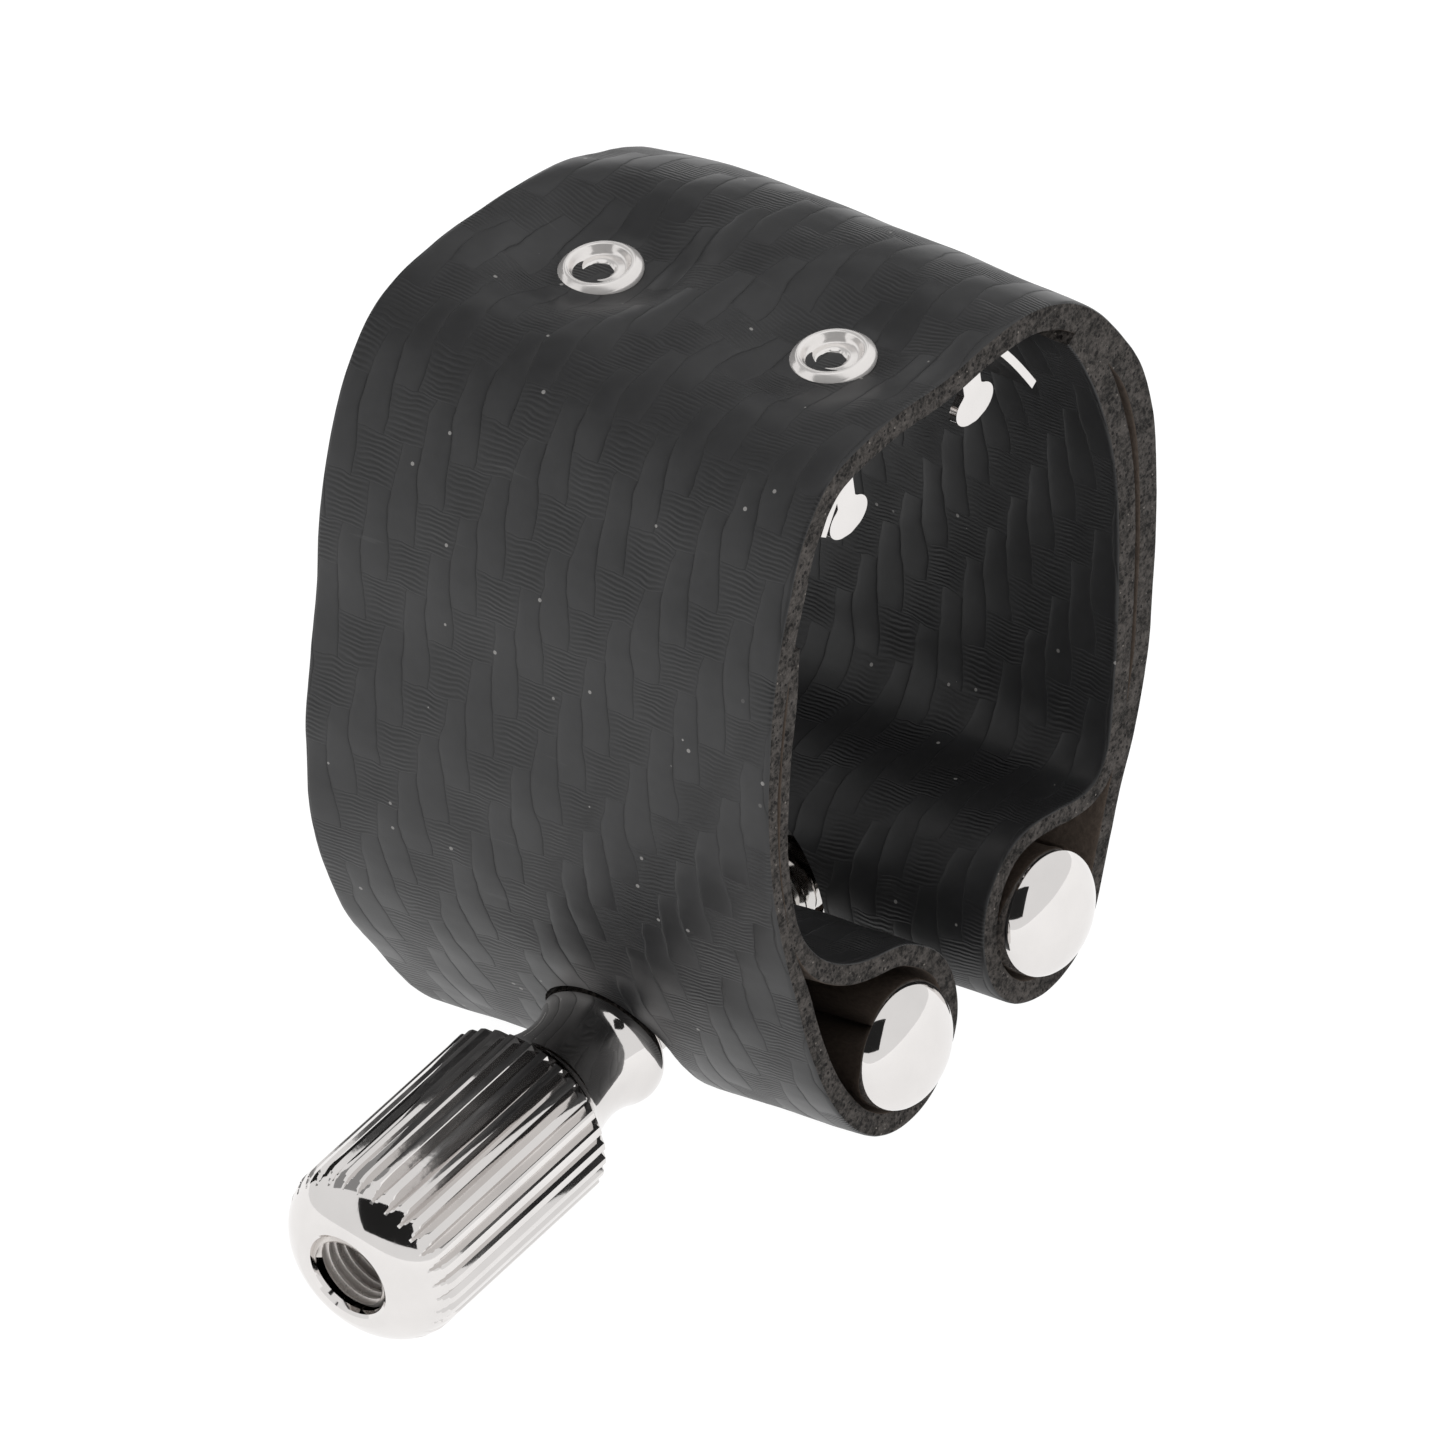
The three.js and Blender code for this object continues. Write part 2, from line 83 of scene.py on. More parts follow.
# The embossed face of the strip in X and Z at the front rim, with the leather's thickness there,
# and how far the same place lies to the right and up at the back rim. From the end of the left
# lining, round the left loop, over the crown and round the right loop to the end of the right
# lining. Millimetres.
STRIP = [
    (-10.2, 7.4, 0.62, -0.6, 0.2), (-10.8, 5.1, 0.78, -0.7, 0.1), (-11.7, 2.4, 0.72, -0.8, 0.0),
    (-12.4, -0.4, 0.65, -1.2, 0.0), (-12.8, -3.3, 0.63, -1.7, 0.0), (-12.75, -5.6, 0.66, -2.1, 0.0),
    (-12.4, -7.2, 0.8, -2.3, -0.1), (-11.65, -8.5, 0.95, -2.2, -0.3), (-10.5, -9.65, 1.0, -1.8, -0.6),
    (-9.2, -10.5, 1.05, -1.2, -1.1), (-7.9, -11.05, 1.05, -0.6, -1.7), (-6.5, -11.45, 1.05, -0.2, -2.2),
    (-5.3, -12.3, 1.05, 0.0, -2.5), (-4.2, -13.4, 1.05, 0.0, -2.5), (-3.4, -15.3, 1.05, 0.0, -2.5),
    (-3.3, -17.3, 1.05, 0.0, -2.5), (-4.3, -19.2, 1.05, 0.0, -2.5), (-5.7, -20.4, 1.1, 0.0, -2.5),
    (-7.7, -20.75, 1.1, 0.0, -2.5), (-9.5, -20.1, 1.1, 0.0, -2.5), (-11.0, -18.7, 1.05, 0.0, -2.5),
    (-12.0, -17.0, 1.05, -0.3, -2.2), (-12.8, -14.7, 1.0, -1.0, -1.6), (-13.3, -12.2, 1.0, -2.0, -0.8),
    (-13.6, -9.6, 0.95, -2.5, -0.1), (-13.95, -7.0, 0.74, -2.35, 0.0), (-14.15, -4.5, 0.66, -1.9, 0.0),
    (-14.05, -2.2, 0.66, -1.6, 0.0), (-13.8, -0.2, 0.68, -1.2, 0.0), (-13.2, 3.0, 0.8, -0.6, 0.2),
    (-12.4, 5.9, 0.98, -0.7, 0.2), (-11.4, 8.3, 1.12, -0.8, 0.3), (-10.4, 10.2, 1.15, -0.7, 0.5),
    (-9.5, 11.9, 1.15, -0.5, 0.6), (-8.4, 13.2, 1.15, -0.3, 0.7), (-7.0, 14.15, 1.15, -0.1, 0.7),
    (-5.2, 14.5, 1.15, 0.0, 0.7), (-3.5, 14.55, 1.15, 0.0, 0.7), (-1.8, 14.45, 1.15, 0.0, 0.75),
    (0.5, 14.2, 1.15, 0.0, 0.8), (2.3, 14.0, 1.15, 0.0, 0.9), (4.0, 14.0, 1.15, 0.0, 1.0),
    (5.3, 13.95, 1.2, 0.0, 1.05), (6.5, 13.75, 1.2, 0.1, 1.15), (7.8, 13.4, 1.2, 0.2, 1.15),
    (9.1, 12.8, 1.25, 0.3, 1.15), (10.3, 11.9, 1.3, 0.45, 1.0), (11.5, 10.6, 1.35, 0.55, 0.8),
    (12.65, 8.9, 1.4, 0.7, 0.5), (13.55, 7.0, 1.4, 0.85, 0.3), (14.1, 5.1, 1.4, 0.95, 0.1),
    (14.3, 3.4, 1.4, 1.0, 0.0), (14.15, 1.4, 1.35, 1.1, 0.0), (13.8, -0.9, 1.3, 1.2, 0.0),
    (13.25, -3.5, 1.25, 1.35, 0.0), (12.5, -6.4, 1.2, 1.5, 0.0), (11.5, -9.4, 1.15, 1.5, -0.2),
    (10.3, -11.8, 1.1, 1.25, -0.8), (9.0, -13.9, 1.0, 0.6, -1.6), (7.9, -15.9, 1.0, 0.2, -2.2),
    (6.9, -17.9, 1.0, 0.0, -2.5), (5.8, -19.5, 1.05, 0.0, -2.5), (4.2, -20.5, 1.1, 0.0, -2.5),
    (2.4, -20.7, 1.1, 0.0, -2.5), (0.6, -20.0, 1.1, 0.0, -2.5), (-0.8, -18.5, 1.1, 0.0, -2.5),
    (-1.4, -16.5, 1.05, 0.0, -2.5), (-1.15, -14.6, 1.05, 0.0, -2.5), (-0.3, -12.9, 1.0, 0.0, -2.5),
    (1.1, -11.8, 0.95, 0.1, -2.4), (2.8, -11.55, 0.9, 0.3, -2.2), (4.6, -11.9, 0.9, 0.6, -1.7),
    (6.1, -12.35, 0.9, 0.8, -1.2), (7.3, -12.4, 0.95, 1.0, -0.8), (8.3, -11.5, 1.0, 1.2, -0.4),
    (9.0, -9.6, 1.1, 1.2, -0.1), (9.7, -7.2, 1.15, 1.2, 0.0), (10.3, -4.3, 1.2, 1.1, 0.0),
    (10.8, -1.6, 1.25, 1.0, 0.0), (11.15, 0.8, 1.3, 0.9, 0.0), (11.2, 3.0, 1.3, 0.8, 0.0),
    (10.95, 5.2, 1.3, 0.7, 0.1), (10.5, 7.3, 1.3, 0.6, 0.2), (9.9, 9.1, 1.3, 0.5, 0.3),
    (9.2, 10.4, 1.2, 0.4, 0.5),
]


# ---- geometry helpers ---------------------------------------------------------------------------
def smooth_line(rows, step):
    """Rows of numbers whose first two are a place, as an evenly stepped smooth line."""
    points = np.array(rows, float)
    length = np.hypot(*np.diff(points[:, :2], axis=0).T)
    along = np.concatenate([[0], np.cumsum(length)])
    slope = np.gradient(points, along, axis=0)
    place = np.linspace(0, along[-1], max(int(along[-1] / step), 2) + 1)
    k = np.clip(np.searchsorted(along, place, side="right") - 1, 0, len(along) - 2)
    span = (along[k + 1] - along[k])[:, None]
    t = ((place - along[k])[:, None]) / span
    return (
        points[k] * (2 * t**3 - 3 * t**2 + 1) + slope[k] * span * (t**3 - 2 * t**2 + t)
        + points[k + 1] * (3 * t**2 - 2 * t**3) + slope[k + 1] * span * (t**3 - t**2)
    )


def relax(values, passes):
    """The same rows with small kinks smoothed away; the two ends stay where they are."""
    values = values.copy()
    for _ in range(passes):
        values[1:-1] += 0.25 * (values[:-2] + values[2:] - 2 * values[1:-1])
    return values


def rings_to_faces(rows, columns):
    """Quads between successive closed rings of the same number of points."""
    faces = []
    for i in range(rows - 1):
        a, b = i * columns, (i + 1) * columns
        for j in range(columns):
            k = (j + 1) % columns
            faces.append((a + j, a + k, b + k, b + j))
    return faces


def make_mesh(name, places, faces, materials, face_slots=None, corners=None, shade=True):
    """An object at the origin from places in millimetres, with UVs where corners are given."""
    mesh = bpy.data.meshes.new(name)
    mesh.from_pydata([tuple(p) for p in np.asarray(places, float) * MM], [], faces)
    for material in materials:
        mesh.materials.append(material)
    if face_slots is not None:
        mesh.polygons.foreach_set("material_index", face_slots)
    if corners is not None:
        layer = mesh.uv_layers.new(name="strip")
        layer.data.foreach_set("uv", np.asarray(corners, np.float32).ravel())
    mesh.polygons.foreach_set("use_smooth", [shade] * len(mesh.polygons))
    mesh.update()
    obj = bpy.data.objects.new(name, mesh)
    bpy.context.collection.objects.link(obj)
    return obj


def turned(profile, segments, ripple=None):
    """Places and faces of a profile of (radius, distance) turned about X, with both ends closed."""
    places = []
    for radius, along in profile:
        for j in range(segments):
            angle = 2 * math.pi * j / segments
            r = ripple(radius, along, angle) if ripple else radius
            places.append((along, r * math.cos(angle), r * math.sin(angle)))
    faces = rings_to_faces(len(profile), segments)
    last = (len(profile) - 1) * segments
    faces.append(tuple(range(segments - 1, -1, -1)))
    faces.append(tuple(range(last, last + segments)))
    return np.array(places), faces


def rounded(corners, radius, steps=5):
    """A profile with each inner corner replaced by a small curve."""
    out = [corners[0]]
    for before, here, after in zip(corners, corners[1:], corners[2:]):
        a, b, c = Vector(before), Vector(here), Vector(after)
        cut = min(radius, (a - b).length * 0.45, (c - b).length * 0.45)
        start, end = b + (a - b).normalized() * cut, b + (c - b).normalized() * cut
        for k in range(steps + 1):
            t = k / steps
            out.append(tuple((1 - t) ** 2 * start + 2 * t * (1 - t) * b + t * t * end))
    out.append(corners[-1])
    return out


def outward(obj):
    """Doubled points joined, and faces turned outward."""
    work = bmesh.new()
    work.from_mesh(obj.data)
    bmesh.ops.remove_doubles(work, verts=work.verts, dist=1e-7)
    bmesh.ops.recalc_face_normals(work, faces=work.faces)
    work.to_mesh(obj.data)
    work.free()
    return obj


def crisp(obj, degrees):
    """Edges that bend by more than this many degrees shade as edges."""
    obj.data.set_sharp_from_angle(angle=math.radians(degrees))
    return obj


def applied(obj):
    """The object's modifiers made real in its mesh."""
    bpy.context.view_layer.update()
    depsgraph = bpy.context.evaluated_depsgraph_get()
    mesh = bpy.data.meshes.new_from_object(obj.evaluated_get(depsgraph))
    obj.modifiers.clear()
    old = obj.data
    obj.data = mesh
    bpy.data.meshes.remove(old)
    return obj


def cut_away(obj, cutter):
    """Takes the cutter's shape out of obj; the new faces keep the cutter's material."""
    step = obj.modifiers.new("cut", "BOOLEAN")
    step.operation = "DIFFERENCE"
    step.solver = "EXACT"
    step.material_mode = "TRANSFER"
    step.object = cutter
    applied(obj)
    mesh = cutter.data
    bpy.data.objects.remove(cutter)
    bpy.data.meshes.remove(mesh)
    return obj


def finish_piece(obj, body, material_slot, *nodes):
    """What the frame has to know of a rigid piece."""
    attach(obj, body)
    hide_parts(*nodes)


# ---- materials ----------------------------------------------------------------------------------
class Field:
    """A number or colour inside a node tree, so that formulas read as formulas."""

    def __init__(self, tree, socket):
        self.tree, self.socket = tree, socket

    def math(self, operation, *others):
        node = self.tree.nodes.new("ShaderNodeMath")
        node.operation = operation
        for slot, value in zip(node.inputs, (self, *others)):
            if isinstance(value, Field):
                self.tree.links.new(value.socket, slot)
            else:
                slot.default_value = value
        return Field(self.tree, node.outputs[0])

    def __add__(self, other):
        return self.math("ADD", other)

    def __sub__(self, other):
        return self.math("SUBTRACT", other)

    def __mul__(self, other):
        return self.math("MULTIPLY", other)

    def __truediv__(self, other):
        return self.math("DIVIDE", other)

    def sin(self):
        return self.math("SINE")

    def floor(self):
        return self.math("FLOOR")

    def less(self, other):
        return self.math("LESS_THAN", other)

    def power(self, other):
        return self.math("POWER", other)

    def belly(self):
        """0 at 0 and at 1, full in the middle."""
        return (self * math.pi).sin().math("MAXIMUM", 0.0)

    def between(self, low, high):
        """0 at low, 1 at high, smooth in between."""
        node = self.tree.nodes.new("ShaderNodeMapRange")
        node.interpolation_type = "SMOOTHSTEP"
        node.inputs["From Min"].default_value = low
        node.inputs["From Max"].default_value = high
        self.tree.links.new(self.socket, node.inputs["Value"])
        return Field(self.tree, node.outputs["Result"])


class Paint:
    """One procedural material under construction."""

    def __init__(self, name, **constants):
        self.material = bpy.data.materials.new(name)
        self.material.use_nodes = True
        self.tree = self.material.node_tree
        self.shader = self.tree.nodes["Principled BSDF"]
        for key, value in constants.items():
            self.shader.inputs[key.replace("_", " ")].default_value = value

    def coordinates(self, strip=False):
        if strip:
            node = self.tree.nodes.new("ShaderNodeUVMap")
            node.uv_map = "strip"
            return node.outputs["UV"]
        node = self.tree.nodes.new("ShaderNodeTexCoord")
        return node.outputs["Object"]

    def split(self, socket):
        node = self.tree.nodes.new("ShaderNodeSeparateXYZ")
        self.tree.links.new(socket, node.inputs[0])
        return [Field(self.tree, out) for out in node.outputs]

    def noise(self, socket, scale, detail=3.0, roughness=0.55, stretch=None):
        if stretch:
            mapping = self.tree.nodes.new("ShaderNodeMapping")
            mapping.inputs["Scale"].default_value = stretch
            self.tree.links.new(socket, mapping.inputs["Vector"])
            socket = mapping.outputs["Vector"]
        node = self.tree.nodes.new("ShaderNodeTexNoise")
        node.inputs["Scale"].default_value = scale
        node.inputs["Detail"].default_value = detail
        node.inputs["Roughness"].default_value = roughness
        self.tree.links.new(socket, node.inputs["Vector"])
        return Field(self.tree, node.outputs[0])

    def cells(self, socket, scale):
        """Distance to the nearest scattered point, and a number of its own for each point."""
        node = self.tree.nodes.new("ShaderNodeTexVoronoi")
        node.inputs["Scale"].default_value = scale
        self.tree.links.new(socket, node.inputs["Vector"])
        return Field(self.tree, node.outputs["Distance"]), self.split(node.outputs["Color"])[0]

    def mix(self, amount, low, high):
        """A colour between two colours, either of which may be a socket."""
        node = self.tree.nodes.new("ShaderNodeMix")
        node.data_type = "RGBA"
        self.tree.links.new(amount.socket, node.inputs[0])
        for slot, value in ((node.inputs[6], low), (node.inputs[7], high)):
            if isinstance(value, tuple):
                slot.default_value = (*value, 1.0)
            else:
                self.tree.links.new(value, slot)
        return node.outputs[2]

    def bump(self, height, distance, strength=1.0, below=None):
        node = self.tree.nodes.new("ShaderNodeBump")
        node.inputs["Distance"].default_value = distance
        node.inputs["Strength"].default_value = strength
        self.tree.links.new(height.socket, node.inputs["Height"])
        if below:
            self.tree.links.new(below, node.inputs["Normal"])
        return node.outputs[0]

    def wire(self, **sockets):
        for key, value in sockets.items():
            value = value.socket if isinstance(value, Field) else value
            self.tree.links.new(value, self.shader.inputs[key.replace("_", " ")])
        return self.material


def embossed_leather(settings):
    """Black leather film embossed as a twill: smooth upright tows and finely ribbed level ones."""
    paint = Paint("leather_embossed", Specular_IOR_Level=0.5)
    strip, solid = paint.coordinates(strip=True), paint.coordinates()
    across, along, _ = paint.split(strip)
    wander = paint.noise(strip, 0.45, 2.0) - 0.5
    a = across / settings.tow_width + wander * 0.5
    b = along / settings.tow_length + wander * 0.35
    phase = (a + b) * (math.pi / 2)
    a = a - (phase + math.pi / 2).sin() * 0.15
    column, row = a.floor(), b.floor()
    in_column, in_row = a - column, b - row
    turn = (column + row).math("FLOORED_MODULO", 4.0)
    level = turn.less(2.0)
    along_level = (turn + in_column) / 2.0
    along_upright = (turn + in_row - 2.0) / 2.0
    crease = in_column.belly().power(0.28)
    upright_height = crease * (along_upright.belly().power(0.5) * 0.4 + 0.6)
    level_height = in_row.belly().power(0.4) * 0.16 + along_level.belly().power(0.4) * 0.1 + 0.66
    rib = (in_row * (2 * math.pi * settings.ribs)).sin() * along_level.belly().power(0.5)
    height = level * level_height + (level * -1.0 + 1.0) * upright_height
    relief = height + level * rib * 0.17
    grain = paint.noise(solid, 9000.0, 2.0)
    worn = paint.noise(solid, 260.0, 4.0)
    cloud = paint.noise(solid, 1500.0, 3.0)
    # Crease mask: it darkens the colour below as painted shade and raises the roughness.
    valley = (level * -1.0 + 1.0) * (crease * -1.0 + 1.0).between(0.22, 0.75)
    lining = along.less(settings.lining_left) + along.math("GREATER_THAN", settings.lining_right)
    base = paint.mix(cloud, (0.009, 0.009, 0.0095), (0.017, 0.017, 0.018))
    # Painted shade: the troughs between the ribs of the level tows are darkened in colour.
    base = paint.mix(level * rib.between(-0.2, -0.9) * 0.65, base, (0.005, 0.005, 0.005))
    # Painted shade: the creases beside the upright tows are darkened in colour, standing in for ambient
    # occlusion.
    base = paint.mix(valley * 0.4, base, (0.003, 0.003, 0.003))
    distance, own = paint.cells(solid, 900.0)
    speck = distance.less(0.085) * own.between(0.70, 0.74)
    base = paint.mix(speck * 0.6, base, (0.30, 0.29, 0.28))
    scratch = paint.noise(strip, 1.0, 2.0, 0.5, stretch=(0.25, 2.6, 1.0)).between(0.70, 0.76)
    base = paint.mix(scratch * 0.2, base, (0.06, 0.06, 0.06))
    # Painted shade: the lining inside the bore is darkened in colour.
    base = paint.mix(lining * 0.15, base, (0.003, 0.003, 0.003))
    rough = worn * 0.22 + 0.28 + valley * 0.2 + level * 0.06 + lining * 0.06
    gloss = lining * -0.08 + 0.5
    bump = paint.bump(relief, settings.relief * MM)
    bump = paint.bump(grain + worn, 0.006 * MM, 0.5, bump)
    return paint.wire(Base_Color=base, Roughness=rough, Specular_IOR_Level=gloss, Normal=bump)


def cut_leather():
    """The strip's cut edge: packed fibre with open pores and pale dust."""
    paint = Paint("leather_cut_edge", Roughness=0.9, Specular_IOR_Level=0.25)
    solid = paint.coordinates()
    fibre = paint.noise(solid, 5200.0, 4.0, 0.7)
    coarse = paint.noise(solid, 1700.0, 3.0, 0.6)
    tone = (fibre * 0.6 + coarse * 0.5).between(0.38, 0.74)
    base = paint.mix(tone, (0.005, 0.0045, 0.004), (0.085, 0.076, 0.070))
    distance, own = paint.cells(solid, 3600.0)
    pore = distance.less(0.30) * own.between(0.35, 0.5)
    # Painted shade: the open pores are darkened in colour.
    base = paint.mix(pore * 0.85, base, (0.006, 0.005, 0.005))
    speck = distance.less(0.16) * own.less(0.12)
    base = paint.mix(speck * 0.7, base, (0.22, 0.20, 0.18))
    height = fibre + coarse - pore * 0.6
    return paint.wire(Base_Color=base, Normal=paint.bump(height, 0.13 * MM))


def flesh_leather():
    """The strip's unfinished side: brown-grey nap."""
    paint = Paint("leather_flesh_side", Roughness=0.95, Specular_IOR_Level=0.2)
    solid = paint.coordinates()
    nap = paint.noise(solid, 3200.0, 4.0, 0.65)
    base = paint.mix(nap, (0.026, 0.020, 0.016), (0.105, 0.082, 0.067))
    return paint.wire(Base_Color=base, Normal=paint.bump(nap, 0.06 * MM))


def chrome(name, tint=(0.80, 0.775, 0.76), wear=0.05, metallic=1.0):
    """Plated metal: bright, a little uneven in its polish, with fine handling marks."""
    paint = Paint(name, Metallic=metallic)
    solid = paint.coordinates()
    cloud = paint.noise(solid, 380.0, 4.0)
    mark = paint.noise(solid, 900.0, 3.0, 0.6, stretch=(1.0, 4.0, 0.6)).between(0.62, 0.75)
    dull = tuple(c * 0.86 for c in tint)
    base = paint.mix(cloud, tint, dull)
    rough = cloud * wear + 0.035 + mark * 0.06
    return paint.wire(Base_Color=base, Roughness=rough, Normal=paint.bump(cloud, 0.012 * MM, 0.6))


def shared(name, make, *values):
    return bpy.data.materials.get(name) or make(*values)


# ---- geometry nodes: what repeats ---------------------------------------------------------------
def repeat_tree(name, turning):
    """A node tree that repeats a mesh Count times, turned about X or moved along X by Step each."""
    tree = bpy.data.node_groups.new(name, "GeometryNodeTree")
    face = tree.interface
    face.new_socket("Geometry", in_out="INPUT", socket_type="NodeSocketGeometry")
    face.new_socket("Count", in_out="INPUT", socket_type="NodeSocketInt")
    face.new_socket("Step", in_out="INPUT", socket_type="NodeSocketFloat")
    face.new_socket("Material", in_out="INPUT", socket_type="NodeSocketMaterial")
    face.new_socket("Geometry", in_out="OUTPUT", socket_type="NodeSocketGeometry")
    new, link = tree.nodes.new, tree.links.new
    given, out = new("NodeGroupInput"), new("NodeGroupOutput")
    line, place = new("GeometryNodeMeshLine"), new("GeometryNodeInstanceOnPoints")
    line.mode, line.count_mode = "OFFSET", "TOTAL"
    link(given.outputs["Count"], line.inputs["Count"])
    link(line.outputs["Mesh"], place.inputs["Points"])
    link(given.outputs["Geometry"], place.inputs["Instance"])
    joined = new("ShaderNodeCombineXYZ")
    if turning:
        line.inputs["Offset"].default_value = (0.0, 0.0, 0.0)
        index, angle = new("GeometryNodeInputIndex"), new("ShaderNodeMath")
        angle.operation = "MULTIPLY"
        link(index.outputs[0], angle.inputs[0])
        link(given.outputs["Step"], angle.inputs[1])
        link(angle.outputs[0], joined.inputs["X"])
        link(joined.outputs[0], place.inputs["Rotation"])
    else:
        link(given.outputs["Step"], joined.inputs["X"])
        link(joined.outputs[0], line.inputs["Offset"])
    real, weld, paint = (
        new("GeometryNodeRealizeInstances"), new("GeometryNodeMergeByDistance"),
        new("GeometryNodeSetMaterial"),
    )
    weld.inputs["Distance"].default_value = 2e-6
    link(place.outputs[0], real.inputs[0])
    link(real.outputs[0], weld.inputs[0])
    link(weld.outputs[0], paint.inputs[0])
    link(given.outputs["Material"], paint.inputs["Material"])
    link(paint.outputs[0], out.inputs[0])
    return tree


def repeated(obj, name, turning, count, step, material):
    """Repeats obj with the tree of that name and makes the result a plain mesh."""
    tree = bpy.data.node_groups.get(name) or repeat_tree(name, turning)
    modifier = obj.modifiers.new("repeat", "NODES")
    modifier.node_group = tree
    sockets = {s.name: s.identifier for s in tree.interface.items_tree if s.in_out == "INPUT"}
    modifier[sockets["Count"]] = count
    modifier[sockets["Step"]] = step
    modifier[sockets["Material"]] = material
    return outward(applied(obj))


# ---- the strap ----------------------------------------------------------------------------------
def strip_surface(settings):
    """Smooth line of the whole strip, its running length, and the row nearest the crown's middle."""
    line = relax(smooth_line(STRIP, settings.step), 14)
    length = np.concatenate([[0], np.cumsum(np.hypot(*np.diff(line[:, :2], axis=0).T))])
    upper = np.where(line[:, 1] > 13.0)[0]
    middle = upper[np.argmin(np.abs(line[upper, 0] - settings.crown_middle))]
    return line, length, middle


def strip_columns():
    """Places across the strip, closer together at both rims."""
    inner = np.linspace(-HALF_WIDTH + 0.5, HALF_WIDTH - 0.5, 34)
    rim = [HALF_WIDTH, HALF_WIDTH - 0.04, HALF_WIDTH - 0.2]
    return np.array([-r for r in rim] + list(inner) + rim[::-1])


def strip_places(line, settings):
    """Embossed face and flesh side for every row and column, in millimetres."""
    across = strip_columns()
    share = ((across + HALF_WIDTH) / (2 * HALF_WIDTH))[None, :]
    x = line[:, 0:1] + line[:, 3:4] * share
    z = line[:, 1:2] + line[:, 4:5] * share
    thick = np.repeat(line[:, 2:3], len(across), axis=1)
    top = (z > 11.0).astype(float)
    middle = settings.crown_middle
    for y, depth in ((-6.5, settings.dimple), (6.1, settings.dimple * 1.4)):
        spread = np.exp(-((x - middle) ** 2) / 16.0 - ((across[None, :] - y) ** 2) / 14.0)
        pull = np.clip(spread * 1.45, 0, 1)
        z = z - depth * pull * pull * (3 - 2 * pull) * top
    outer_left = (x < -9.0) * np.exp(-(across[None, :] ** 2) / 9.0 - (z + 16.5) ** 2 / 14.0)
    x = x + settings.pinch * outer_left
    shoulder = np.exp(-((x - 9.0) ** 2) / 25.0) * np.clip((z - 4.0) / 7.0, 0, 1)
    z = z - settings.droop * shoulder * share**4
    tx, tz = np.gradient(x, axis=0), np.gradient(z, axis=0)
    size = np.hypot(tx, tz)
    nx, nz = tz / size, -tx / size
    for i in range(x.shape[0]):
        for j in range(x.shape[1]):
            p = Vector((x[i, j], across[j], z[i, j]))
            lift = settings.waviness * noise.noise(p * 0.33) + 0.012 * noise.noise(p * 1.7)
            x[i, j] -= nx[i, j] * lift
            z[i, j] -= nz[i, j] * lift
    y = np.repeat(across[None, :], x.shape[0], axis=0)
    roll = np.zeros(len(across))
    roll[[0, -1]], roll[[1, -2]] = 0.07, 0.02
    face = np.stack([x + nx * roll, y, z + nz * roll], axis=2)
    flesh = np.stack([x + nx * (thick - roll * 0.5), y, z + nz * (thick - roll * 0.5)], axis=2)
    return face, flesh


def strap_half(name, first, last, line, length, settings, materials):
    """One half of the strip as a closed solid, with rough cut edges."""
    face, flesh = strip_places(line, settings)
    face, flesh, length = face[first:last], flesh[first:last], length[first:last]
    rows, columns = face.shape[:2]
    steps = 6  # across the cut edge
    rim = []
    for side, j in ((1, columns - 1), (-1, 0)):
        for k in range(1, steps):
            t = k / steps
            p = face[:, j] * (1 - t) + flesh[:, j] * t
            for i in range(rows):
                q = Vector(p[i])
                fluff = noise.noise(q * 4.5) * 0.7 + noise.noise(q * 11.0) * 0.5
                p[i, 1] += side * (0.02 + 0.075 * fluff)
            rim.append(p)
    back, front = rim[:steps - 1], rim[steps - 1:]
    ring = [face[:, j] for j in range(columns)] + back
    ring += [flesh[:, j] for j in range(columns - 1, -1, -1)] + front[::-1]
    places = np.stack(ring, axis=1)
    count = places.shape[1]
    faces = rings_to_faces(rows, count)
    slot_of = [0] * (columns - 1) + [1] * steps + [2] * (columns - 1) + [1] * steps
    slots = slot_of * (rows - 1)
    across = list(strip_columns())
    around = across + [across[-1]] * (steps - 1) + across[::-1] + [across[0]] * (steps - 1)
    corners = []
    for low, high in zip(length, length[1:]):
        for a, b in zip(around, around[1:] + around[:1]):
            corners += [(a, low), (b, low), (b, high), (a, high)]
    for row, flip in ((0, True), (rows - 1, False)):
        base = row * count
        opposite = base + 2 * columns + steps - 2  # flesh side behind the first place of the row
        for j in range(columns - 1):
            cap = [base + j, base + j + 1, opposite - j - 1, opposite - j]
            if j == columns - 2:
                cap[2:2] = [base + columns + k for k in range(steps - 1)]
            if j == 0:
                cap += [base + 2 * columns + steps - 1 + k for k in range(steps - 1)]
            faces.append(tuple(cap[::-1] if flip else cap))
            slots.append(1)
            corners += [(0.0, length[row])] * len(cap)
    return make_mesh(name, places.reshape(-1, 3), faces, materials, slots, corners)


def notch_cutter(bar_x, screw_z, half, material):
    """The arched notch that lets the screw and its collar reach a bar."""
    outline = [(half * math.cos(t), half * math.sin(t)) for t in np.linspace(0, math.pi, 25)]
    outline += [(-half - 0.25, -8.0), (half + 0.25, -8.0)]
    places = [(bar_x - 8, y, screw_z + z) for y, z in outline]
    places += [(bar_x + 8, y, screw_z + z) for y, z in outline]
    n = len(outline)
    faces = [tuple(range(n - 1, -1, -1)), tuple(range(n, 2 * n))]
    faces += [(i, (i + 1) % n, n + (i + 1) % n, n + i) for i in range(n)]
    return outward(make_mesh("notch_cutter", places, faces, [material], shade=False))


